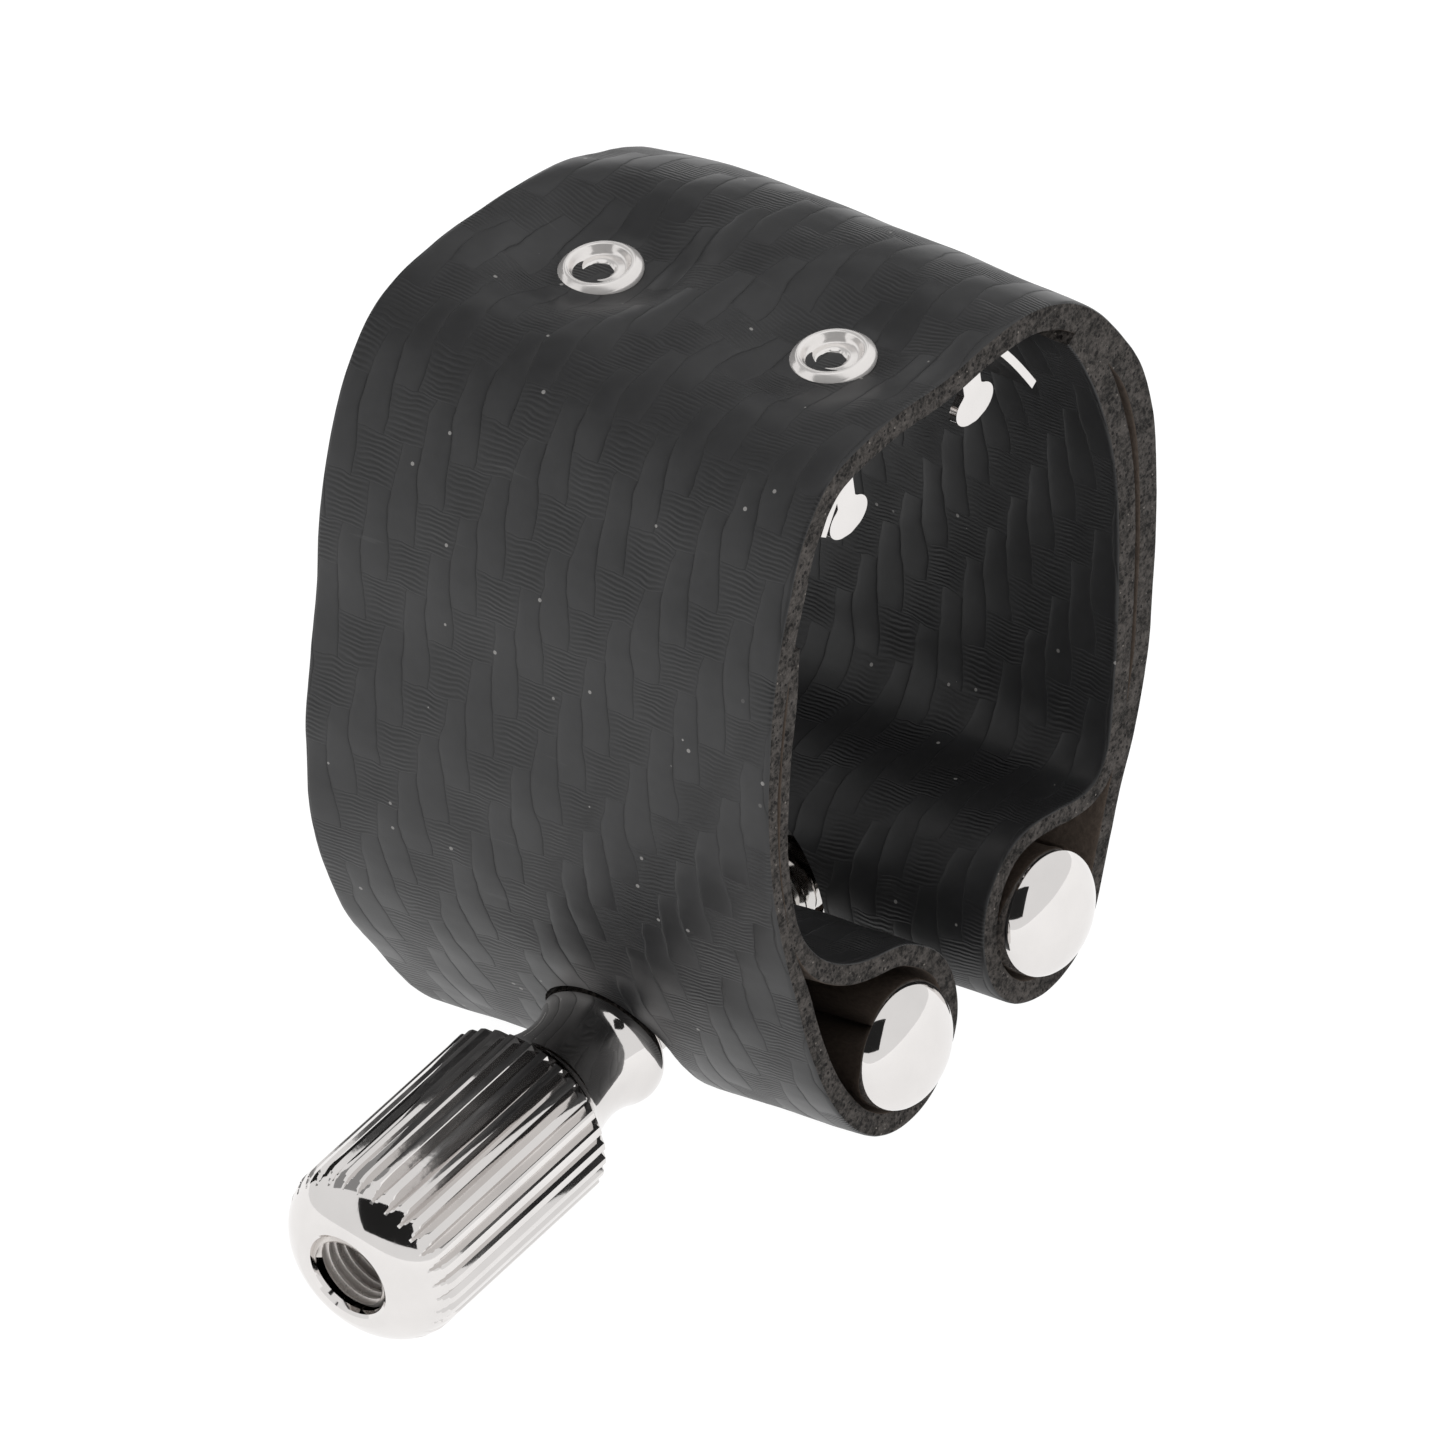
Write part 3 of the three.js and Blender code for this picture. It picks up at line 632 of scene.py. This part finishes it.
class StrapSettings(bpy.types.PropertyGroup):
    tow_width: FloatProperty(
        name="Tow width", description="Width of one embossed tow across the strap, mm", default=1.2)
    tow_length: FloatProperty(
        name="Tow length", description="Height of one embossed tow along the strap, mm", default=2.06)
    ribs: FloatProperty(
        name="Ribs", description="Ribs in one level tow", default=9.5)
    lining_left: FloatProperty(
        name="Left lining", description="Length of the left lining along the strip, mm", default=21.0)
    lining_right: FloatProperty(
        name="Right lining", description="Start of the right lining along the strip, mm",
        default=115.0)
    relief: FloatProperty(
        name="Relief", description="Depth of the embossing, mm", default=0.06)
    step: FloatProperty(
        name="Step", description="Spacing of the mesh's rows along the strap, mm", default=0.2)
    waviness: FloatProperty(
        name="Waviness", description="Height of the leather's slow unevenness, mm", default=0.09)
    dimple: FloatProperty(
        name="Dimple", description="How far the front rivet pulls the crown down, mm", default=0.95)
    pinch: FloatProperty(
        name="Pinch", description="How far the leather gives way beside the screw, mm", default=0.6)
    droop: FloatProperty(
        name="Droop", description="How far the right shoulder sinks at the back rim, mm", default=1.9)
    crown_middle: FloatProperty(
        name="Crown middle", description="Middle of the crown across the bore, mm", default=0.7)
    notch_half: FloatProperty(
        name="Notch", description="Half-width of the screw's notch, mm", default=3.25)


class LIGATURE_OT_strap(bpy.types.Operator):
    """Builds the embossed leather strap as two halves that meet on the rigid crown"""
    bl_idname = "ligature.strap"
    bl_label = "Strap"

    def execute(self, context):
        settings = context.scene.ligature.strap
        face = shared("leather_embossed", embossed_leather, settings)
        cut = shared("leather_cut_edge", cut_leather)
        flesh = shared("leather_flesh_side", flesh_leather)
        line, length, middle = strip_surface(settings)
        low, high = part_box("screw_stud")
        screw_z = (low.z + high.z) / 2 / MM
        for side, span, bend in (
            ("left", (0, middle + 1), ((-8.0, 12.6), (-10.6, 7.6))),
            ("right", (middle, len(line)), ((8.8, 12.8), (12.8, 8.2))),
        ):
            name = f"strap_{side}_half"
            obj = strap_half(name, *span, line, length, settings, [face, cut, flesh])
            low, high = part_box(f"{side}_bar")
            bar_x = (low.x + high.x) / 2 / MM
            outward(obj)
            cut_away(obj, notch_cutter(bar_x, screw_z, settings.notch_half, cut))
            crisp(obj, 50)
            start, end = ((x * MM, 0.0, z * MM) for x, z in bend)
            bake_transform(obj)
            nodes = ("strap_left_loop", "strap_crown") if side == "left" else ("strap_right_loop",)
            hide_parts(*nodes)
        return {"FINISHED"}


# ---- reed plate and rivets ----------------------------------------------------------------------
class PlateSettings(bpy.types.PropertyGroup):
    thickness: FloatProperty(
        name="Thickness", description="Thickness of the sheet, mm", default=0.38)
    lobe: FloatProperty(
        name="Lobe width", description="Half-width of the oval end of each foot, mm", default=1.3)
    lobe_height: FloatProperty(
        name="Lobe height", description="Half-height of the oval end of each foot, mm", default=0.85)
    stem: FloatProperty(
        name="Stem", description="Half-width of each foot above its lobe, mm", default=0.6)
    wing: FloatProperty(
        name="Wing", description="How far the right bent-down edge reaches past the flat, mm",
        default=1.5)


def sheet_solid(rows_face, rows_back):
    """A closed sheet between two grids of places."""
    face, back = np.array(rows_face), np.array(rows_back)
    rows, columns = face.shape[:2]
    places = np.concatenate([face, back[:, ::-1]], axis=1)
    faces = rings_to_faces(rows, 2 * columns)
    for row, flip in ((0, True), (rows - 1, False)):
        base = row * 2 * columns
        for j in range(columns - 1):
            cap = (base + j, base + j + 1, base + 2 * columns - 2 - j, base + 2 * columns - 1 - j)
            faces.append(cap[::-1] if flip else cap)
    return places.reshape(-1, 3), faces


def joined(parts):
    places, faces, start = [], [], 0
    for more_places, more_faces in parts:
        places.append(more_places)
        faces += [tuple(start + k for k in f) for f in more_faces]
        start += len(more_places)
    return np.concatenate(places), faces


def plate_sheet(box, settings):
    """The plate: nearly flat under the crown, its long edges curled down."""
    low, high = box
    middle, flat = (low.x + high.x) / 2, (high.x - low.x) / 2
    profile = []
    for t in np.linspace(-1, 1, 41):
        bend = max(abs(t) - 0.64, 0) / 0.36
        half, drop = (flat + settings.wing, 4.1) if t > 0 else (flat + 0.4, 2.3)
        profile.append((middle + half * t, high.z - drop * bend**1.35 - 0.12 * t * t))
    profile = np.array(profile)
    tangent = np.gradient(profile, axis=0)
    normal = np.stack([tangent[:, 1], -tangent[:, 0]], axis=1)
    normal /= np.linalg.norm(normal, axis=1)[:, None]
    through = normal * settings.thickness
    face, back = [], []
    for y in np.linspace(low.y + 0.5, high.y - 0.5, 25):
        curl = (0.12 * math.sin(y * 0.5) + 0.03 * (y - low.y)) / flat
        lifted = [(x, z + curl * abs(x - middle)) for x, z in profile]
        face.append([(x, y, z) for x, z in lifted])
        back.append([(x + n[0], y, z + n[1]) for (x, z), n in zip(lifted, through)])
    return sheet_solid(face, back)


def foot_sheet(x, end_y, side, top, bottom, settings):
    """One foot: a narrow tab that turns down at the plate's end into a round lobe."""
    lobe_z = bottom + settings.lobe_height
    face, back = [], []
    path = [(end_y - side * 1.8, top), (end_y - side * 0.7, top)]
    path += [(end_y - side * (0.7 - 0.7 * math.sin(t)), top - 0.7 * (1 - math.cos(t)))
             for t in np.linspace(0.25, math.pi / 2, 5)]
    path += [(end_y + side * 0.02, z) for z in np.linspace(top - 1.0, bottom + 0.002, 26)]
    path = np.array(path)
    tangent = np.gradient(path, axis=0)
    normal = np.stack([tangent[:, 1], -tangent[:, 0]], axis=1) * side
    normal /= np.linalg.norm(normal, axis=1)[:, None]
    for (y, z), n in zip(path, normal * settings.thickness):
        reach = max(1 - ((z - lobe_z) / settings.lobe_height) ** 2, 0)
        half = max(settings.lobe * math.sqrt(reach), settings.stem if z > lobe_z else 0.04)
        line = np.linspace(-half, half, 13)
        face.append([(x + w, y, z) for w in line])
        back.append([(x + w, y + n[0], z + n[1]) for w in line])
    return sheet_solid(face, back)


class LIGATURE_OT_reed_plate(bpy.types.Operator):
    """Builds the chromed plate under the crown, with its curled edges and four feet"""
    bl_idname = "ligature.reed_plate"
    bl_label = "Reed plate"

    def execute(self, context):
        settings = context.scene.ligature.plate
        low, high = (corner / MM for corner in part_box("reed_plate"))
        middle = (low.x + high.x) / 2
        parts = [plate_sheet((low, high), settings)]
        for side, end_y in ((-1, low.y + 0.85), (1, high.y - 0.85)):
            for x in (middle - 4.65, middle + 4.25):
                parts.append(foot_sheet(x, end_y, side, high.z - 0.15, low.z + 0.25, settings))
        places, faces = joined(parts)
        metal = shared("chrome_plate", chrome, "chrome_plate")
        obj = make_mesh("reed_plate_chromed", places, faces, [metal])
        crisp(outward(obj), 40)
        finish_piece(obj, "crown", "plate_chrome", "reed_plate")
        return {"FINISHED"}


class RivetSettings(bpy.types.PropertyGroup):
    radius: FloatProperty(
        name="Head radius", description="Radius of the rolled rim, mm", default=1.9)
    dish: FloatProperty(
        name="Dish radius", description="Radius of the dish inside the rim, mm", default=1.22)
    sink: FloatProperty(
        name="Sink", description="Head's seat below the crown's rivet height, mm", default=0.82)
    socket: FloatProperty(
        name="Socket radius", description="Radius of the small socket in the middle, mm", default=0.62)


class LIGATURE_OT_rivets(bpy.types.Operator):
    """Builds both tubular rivets: rolled rim, dished middle, and a split tail under the plate"""
    bl_idname = "ligature.rivets"
    bl_label = "Rivets"

    def execute(self, context):
        s = context.scene.ligature.rivets
        metal = shared("chrome_rivets", chrome, "chrome_rivets", (0.86, 0.83, 0.81), 0.3, 0.62)
        for node in ("rivet_front", "rivet_back"):
            low, high = (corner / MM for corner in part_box(node))
            base = high.z - s.sink
            head = rounded([
                (0.001, base - 0.25), (s.socket * 0.55, base - 0.25), (s.socket, base - 0.02),
                (s.socket + 0.12, base + 0.06), (s.dish - 0.12, base - 0.02), (s.dish, base + 0.1),
                (s.dish + 0.16, base + 0.4), (s.radius - 0.35, base + 0.42), (s.radius, base + 0.12),
                (s.radius, base - 0.15), (1.2, base - 0.35), (1.2, low.z + 0.45),
                (1.75, low.z + 0.3), (1.6, low.z), (0.9, low.z + 0.12), (0.001, low.z + 0.3),
            ], 0.22)

            def ripple(radius, along, angle):
                if along < low.z + 0.5 and radius > 1.0:
                    return radius * (1 + 0.09 * math.cos(6 * angle) * (radius - 1.0))
                if along < base and radius < s.socket:
                    return radius * (1 + 0.05 * math.cos(6 * angle))
                return radius

            places, faces = turned(head, 72, ripple)
            upright = np.stack([places[:, 1], places[:, 2], places[:, 0]], axis=1)
            upright += [(low.x + high.x) / 2 - 0.2, (low.y + high.y) / 2 - 0.2, 0]
            obj = outward(make_mesh(f"{node}_chromed", upright, faces, [metal]))
            crisp(obj, 50)
            finish_piece(obj, "crown", "hardware_chrome", node)
        return {"FINISHED"}


# ---- bars and thumb screw -----------------------------------------------------------------------
class ScrewSettings(bpy.types.PropertyGroup):
    flutes: IntProperty(
        name="Flutes", description="V-shaped flutes round the knob", default=32, min=8)
    crest: FloatProperty(
        name="Crest radius", description="Radius over the flutes, mm", default=4.4)
    root: FloatProperty(
        name="Root radius", description="Radius in the bottom of the flutes, mm", default=4.0)
    pitch: FloatProperty(
        name="Pitch", description="Pitch of the thread, mm", default=0.7)
    mouth_pitch: FloatProperty(
        name="Mouth pitch", description="Pitch of the thread in the knob's end, mm", default=0.5)
    thread: FloatProperty(
        name="Thread radius", description="Outer radius of the thread, mm", default=2.0)
    knob_extra: FloatProperty(
        name="Knob reach", description="How much further the knob's rounded end reaches, mm",
        default=0.4)
    dome: FloatProperty(
        name="Bar dome", description="Height of each bar's domed end, mm", default=1.5)


class LIGATURE_OT_bars(bpy.types.Operator):
    """Builds both round bars with their domed ends and their bore for the screw"""
    bl_idname = "ligature.bars"
    bl_label = "Bars"

    def execute(self, context):
        s = context.scene.ligature.screw
        metal = shared("chrome_bars", chrome, "chrome_bars")
        for node in ("left_bar", "right_bar"):
            low, high = (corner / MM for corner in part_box(node))
            centre = (low + high) / 2
            radius = (high.x - low.x) / 2
            end = (high.y - low.y) / 2 / math.cos(BAR_TILT)
            dome = [(max(radius * math.cos(t), 0.001), end - s.dome + s.dome * math.sin(t))
                    for t in np.linspace(0, math.pi / 2, 15)]
            middle = [(radius, y) for y in np.linspace(-end + s.dome, end - s.dome, 15)[1:-1]]
            profile = [(r, -y) for r, y in dome[::-1]] + middle + dome
            places, faces = turned(profile, 72)
            turn = Matrix.Rotation(-BAR_TILT, 3, "X") @ Matrix.Rotation(math.pi / 2, 3, "Z")
            places = places @ np.array(turn).T + np.array(centre)
            obj = outward(make_mesh(f"{node}_chromed", places, faces, [metal]))
            bore = s.thread + 0.3
            hole, hole_faces = turned([(0.001, -6.0), (bore, -6.0), (bore, 6.0), (0.001, 6.0)], 48)
            cutter = make_mesh("bore_cutter", hole + np.array(centre), hole_faces, [metal])
            cut_away(obj, outward(cutter))
            crisp(obj, 35)
            finish_piece(obj, node, "hardware_chrome", node)
        return {"FINISHED"}


def thread_turn(outer, inner, pitch, steps=40):
    """One turn of a thread about X, from 0 to one pitch, as an open band."""
    section = [(inner, 0.0), (inner, 0.12), (outer, 0.44), (outer, 0.56), (inner, 0.88), (inner, 1.0)]
    places, faces = [], []
    n = len(section)
    for i in range(steps + 1):
        angle = 2 * math.pi * i / steps
        for radius, share in section:
            x = (share + i / steps) * pitch
            places.append((x, radius * math.cos(angle), radius * math.sin(angle)))
    for i in range(steps):
        for j in range(n - 1):
            a = i * n + j
            faces.append((a, a + n, a + n + 1, a + 1))
    return np.array(places), faces


class LIGATURE_OT_stud(bpy.types.Operator):
    """Builds the threaded stud that runs through both bars"""
    bl_idname = "ligature.stud"
    bl_label = "Stud"

    def execute(self, context):
        s = context.scene.ligature.screw
        metal = shared("chrome_stud", chrome, "chrome_stud", (0.72, 0.70, 0.68), 0.12)
        low, high = (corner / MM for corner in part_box("screw_stud"))
        middle_z = (low.z + high.z) / 2
        inner = s.thread - 0.36
        turns = int((high.x - low.x - 1.6) / s.pitch)  # 0.8 mm of plain core at each end
        places, faces = thread_turn(s.thread, inner, s.pitch)
        thread = make_mesh("thread_band", places, faces, [metal])
        repeated(thread, "Repeat along", False, turns, s.pitch * MM, metal)
        band = np.array([tuple(v.co) for v in thread.data.vertices]) / MM
        band_faces = [tuple(p.vertices) for p in thread.data.polygons]
        bpy.data.objects.remove(thread)
        length = high.x - low.x
        core = rounded([
            (0.001, 0.0), (inner - 0.3, 0.0), (inner + 0.02, 0.35),
            (inner + 0.02, length - 0.35), (inner - 0.3, length), (0.001, length),
        ], 0.12)
        places, faces = joined([(band + np.array([0.45, 0, 0]), band_faces), turned(core, 48)])
        places = places + np.array([low.x, 0, middle_z])
        obj = make_mesh("screw_stud_threaded", places, faces, [metal])
        crisp(outward(obj), 30)
        finish_piece(obj, "stud", "hardware_chrome", "screw_stud")
        return {"FINISHED"}


class LIGATURE_OT_knob(bpy.types.Operator):
    """Builds the fluted thumb knob with its hollow neck, collar and threaded end hole"""
    bl_idname = "ligature.knob"
    bl_label = "Knob"

    def execute(self, context):
        s = context.scene.ligature.screw
        metal = shared("chrome_knob", chrome, "chrome_knob")
        low, high = (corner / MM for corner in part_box("thumb_knob"))
        middle_z = (low.z + high.z) / 2
        length = high.x - low.x + s.knob_extra
        mouth = 1.97
        barrel_end = length - 2.0
        # Distance is measured from the collar's face towards the mouth.
        profile = rounded([
            (2.25, 0.0), (2.62, 0.0), (3.02, 0.42), (3.1, 0.95), (3.02, 1.35), (2.78, 1.9),
            (2.62, 2.6), (2.6, 3.3), (2.74, 4.1), (3.02, 4.9), (3.4, 5.55), (4.4, 6.35),
        ], 0.35, 4)
        profile += [(s.crest, x) for x in np.linspace(6.6, barrel_end - 0.6, 30)]
        reach = length - barrel_end + 0.35
        sweep = math.radians(66)
        for t in np.linspace(0.12, 1.0, 22):
            turn = t * sweep
            radius = 1.35 + (s.crest - 1.35) * math.cos(turn)
            x = barrel_end - 0.35 + reach * math.sin(turn) / math.sin(sweep)
            if radius > mouth + 0.22:
                profile.append((radius, min(x, length)))
        profile += [(mouth + 0.2, length), (mouth + 0.05, length - 0.1), (mouth - 0.02, length - 0.3)]
        sector = 2 * math.pi / s.flutes
        steps = 10
        places, faces = [], []
        for radius, x in profile:
            for j in range(steps + 1):
                share = j / steps
                angle = sector * share
                valley = abs(2 * share - 1)
                flank = s.root + (s.crest + 0.02 - s.root) * min(valley * 1.55, 1.0)
                r = min(radius, flank) if 5.2 < x < length - 0.4 else radius
                places.append((-x, r * math.cos(angle), r * math.sin(angle)))
        columns = steps + 1
        for i in range(len(profile) - 1):
            for j in range(steps):
                a = i * columns + j
                faces.append((a, a + 1, a + columns + 1, a + columns))
        skin = make_mesh("flute_sector", places, faces, [metal])
        repeated(skin, "Repeat round", True, s.flutes, sector, metal)
        skin_places = np.array([tuple(v.co) for v in skin.data.vertices]) / MM
        skin_faces = [tuple(p.vertices) for p in skin.data.polygons]
        bpy.data.objects.remove(skin)
        # Threaded wall of the mouth, the plain floor behind it, and the stud's socket.
        wall, wall_faces = thread_turn(mouth + 0.02, mouth - 0.26, s.mouth_pitch)
        band = make_mesh("mouth_band", wall, wall_faces, [metal])
        turns = int(5.3 / s.mouth_pitch)
        repeated(band, "Repeat along", False, turns, s.mouth_pitch * MM, metal)
        wall = np.array([tuple(v.co) for v in band.data.vertices]) / MM
        wall_faces = [tuple(p.vertices)[::-1] for p in band.data.polygons]
        bpy.data.objects.remove(band)
        wall = wall + np.array([-length + 0.05, 0, 0])
        floor = turned([(0.001, -length + 5.6), (mouth + 0.1, -length + 5.6),
                        (mouth + 0.1, -length + 5.9), (0.001, -length + 5.9)], 48)
        socket = turned([(2.25, 0.0), (2.25, -5.0)], 48)
        socket = (socket[0], socket[1][:48])
        places, faces = joined([(skin_places, skin_faces), (wall, wall_faces), floor, socket])
        places = places + np.array([high.x, 0, middle_z])
        inside = shared("chrome_thread", chrome, "chrome_thread", (0.72, 0.68, 0.65), 0.45, 0.75)
        slots = [0] * len(skin_faces) + [1] * (len(faces) - len(skin_faces))
        obj = make_mesh("thumb_knob_fluted", places, faces, [metal, inside], slots)
        crisp(outward(obj), 24)
        finish_piece(obj, "knob", "hardware_chrome", "thumb_knob")
        return {"FINISHED"}


# ---- stage --------------------------------------------------------------------------------------
class StageSettings(bpy.types.PropertyGroup):
    distance: FloatProperty(
        name="Distance", description="Camera to the object's middle", default=0.7, unit="LENGTH")
    focal: FloatProperty(
        name="Focal length", description="Focal length on a 36 mm sensor, mm", default=409.5)
    target: FloatVectorProperty(
        name="Target", description="Place the camera looks at, mm", default=(-8.81, -5.78, -0.11))
    towards: FloatVectorProperty(
        name="Direction", description="From the object to the camera",
        default=(-0.57521, -0.53375, 0.61988))
    right: FloatVectorProperty(
        name="Right", description="The picture's right", default=(0.60758, -0.78616, -0.11314))


def card(name, places, material, reflected_only=False):
    """A flat card that belongs to the stage."""
    obj = make_mesh(name, places, [(0, 1, 2, 3)], [material], shade=False)
    if reflected_only:
        obj.visible_camera = False
        obj.visible_diffuse = False
        obj.visible_shadow = False
    obj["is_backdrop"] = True
    return obj


def area_light(name, place, size, power, aim=(0.0, 0.0, 0.0)):
    data = bpy.data.lights.new(name, "AREA")
    data.shape, data.size, data.energy = "DISK", size, power
    obj = bpy.data.objects.new(name, data)
    obj.visible_glossy = False
    obj.location = place
    obj.rotation_euler = (Vector(aim) - Vector(place)).to_track_quat("-Z", "Y").to_euler()
    bpy.context.collection.objects.link(obj)
    return obj


class LIGATURE_OT_stage(bpy.types.Operator):
    """Sets the pale floor, the soft light and the camera"""
    bl_idname = "ligature.stage"
    bl_label = "Stage"

    def execute(self, context):
        s = context.scene.ligature.stage
        floor = Paint("floor_pale", Roughness=0.9, Base_Color=(0.12, 0.12, 0.12, 1.0))
        floor.shader.inputs["Emission Color"].default_value = (1.0, 1.0, 1.0, 1.0)
        floor.shader.inputs["Emission Strength"].default_value = 0.96
        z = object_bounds()[0][2] / MM - 0.4
        wide = 3000.0
        square = ((-wide, -wide), (wide, -wide), (wide, wide), (-wide, wide))
        card("floor", [(x, y, z) for x, y in square], floor.material)
        world = bpy.data.worlds.new("soft_white")
        world.use_nodes = True
        sky = world.node_tree.nodes["Background"]
        sky.inputs["Color"].default_value = (1.0, 1.0, 1.0, 1.0)
        sky.inputs["Strength"].default_value = 0.9
        context.scene.world = world
        black = Paint("black_flag", Roughness=1.0, Base_Color=(0.004, 0.004, 0.004, 1.0)).material
        grey_paint = Paint("grey_flag", Roughness=1.0, Base_Color=(0.1, 0.1, 0.1, 1.0))
        grey_paint.shader.inputs["Emission Color"].default_value = (1.0, 1.0, 1.0, 1.0)
        grey_paint.shader.inputs["Emission Strength"].default_value = 0.16
        grey = grey_paint.material
        d, right = Vector(s.towards).normalized(), Vector(s.right).normalized()
        up = d.cross(right)
        for name, at, half_w, half_h, cloth in (
            ("flag_camera", d * 420 - right * 110 + up * 10, 300, 210, black),
            ("flag_back", Vector((0.08, 0.60, 0.80)) * 420, 230, 150, grey),
            ("flag_bore", Vector((0.30, 0.94, 0.10)) * 380, 115, 90, black),
            ("flag_right", Vector((0.83, 0.46, 0.30)) * 420, 130, 110, grey),
        ):
            facing = at.normalized()
            side = facing.cross(Vector((0, 0, 1))).normalized()
            rise = side.cross(facing)
            card(name, [tuple(at + side * a * half_w + rise * b * half_h)
                        for a, b in ((-1, -1), (1, -1), (1, 1), (-1, 1))], cloth, reflected_only=True)
        area_light("key", (-0.35, -0.50, 0.40), 0.30, 1.6)
        area_light("back", (0.60, 0.15, 0.12), 0.30, 0.8)
        camera = bpy.data.cameras.new("camera")
        camera.lens, camera.sensor_width = s.focal, 36.0
        camera.clip_start, camera.clip_end = 0.05, 20.0
        obj = bpy.data.objects.new("camera", camera)
        rotation = Matrix((right, up, d)).transposed().to_4x4()
        obj.matrix_world = Matrix.Translation(Vector(s.target) * MM + d * s.distance) @ rotation
        context.collection.objects.link(obj)
        context.scene.camera = obj
        context.scene.view_settings.view_transform = "Standard"
        return {"FINISHED"}


# ---- panel and registration ---------------------------------------------------------------------
class LigatureSettings(bpy.types.PropertyGroup):
    strap: PointerProperty(type=StrapSettings, name="Strap", description="The leather strap")
    plate: PointerProperty(type=PlateSettings, name="Plate", description="The reed plate")
    rivets: PointerProperty(type=RivetSettings, name="Rivets", description="The two rivets")
    screw: PointerProperty(type=ScrewSettings, name="Screw", description="Bars and thumb screw")
    stage: PointerProperty(type=StageSettings, name="Stage", description="Floor, light and camera")


class VIEW3D_PT_ligature(bpy.types.Panel):
    bl_idname = "VIEW3D_PT_ligature"
    bl_label = "Saxophone ligature"
    bl_space_type = "VIEW_3D"
    bl_region_type = "UI"
    bl_category = "Ligature"

    def draw(self, context):
        settings = context.scene.ligature
        for operator, group in PARTS:
            box = self.layout.box()
            box.operator(operator)
            if group:
                values = getattr(settings, group)
                for key in values.__annotations__:
                    box.prop(values, key)


PARTS = [
    ("ligature.strap", "strap"), ("ligature.reed_plate", "plate"), ("ligature.rivets", "rivets"),
    ("ligature.bars", "screw"), ("ligature.stud", None), ("ligature.knob", None),
    ("ligature.stage", "stage"),
]

CLASSES = [
    StrapSettings, PlateSettings, RivetSettings, ScrewSettings, StageSettings, LigatureSettings,
    LIGATURE_OT_strap, LIGATURE_OT_reed_plate, LIGATURE_OT_rivets, LIGATURE_OT_bars,
    LIGATURE_OT_stud, LIGATURE_OT_knob, LIGATURE_OT_stage, VIEW3D_PT_ligature,
]


def register():
    for cls in CLASSES:
        bpy.utils.register_class(cls)
    bpy.types.Scene.ligature = PointerProperty(type=LigatureSettings)


def unregister():
    del bpy.types.Scene.ligature
    for cls in reversed(CLASSES):
        bpy.utils.unregister_class(cls)


def main():
    register()
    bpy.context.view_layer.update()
    for operator, _ in PARTS:
        group, name = operator.split(".")
        getattr(getattr(bpy.ops, group), name)()


if __name__ == "__main__":
    main()
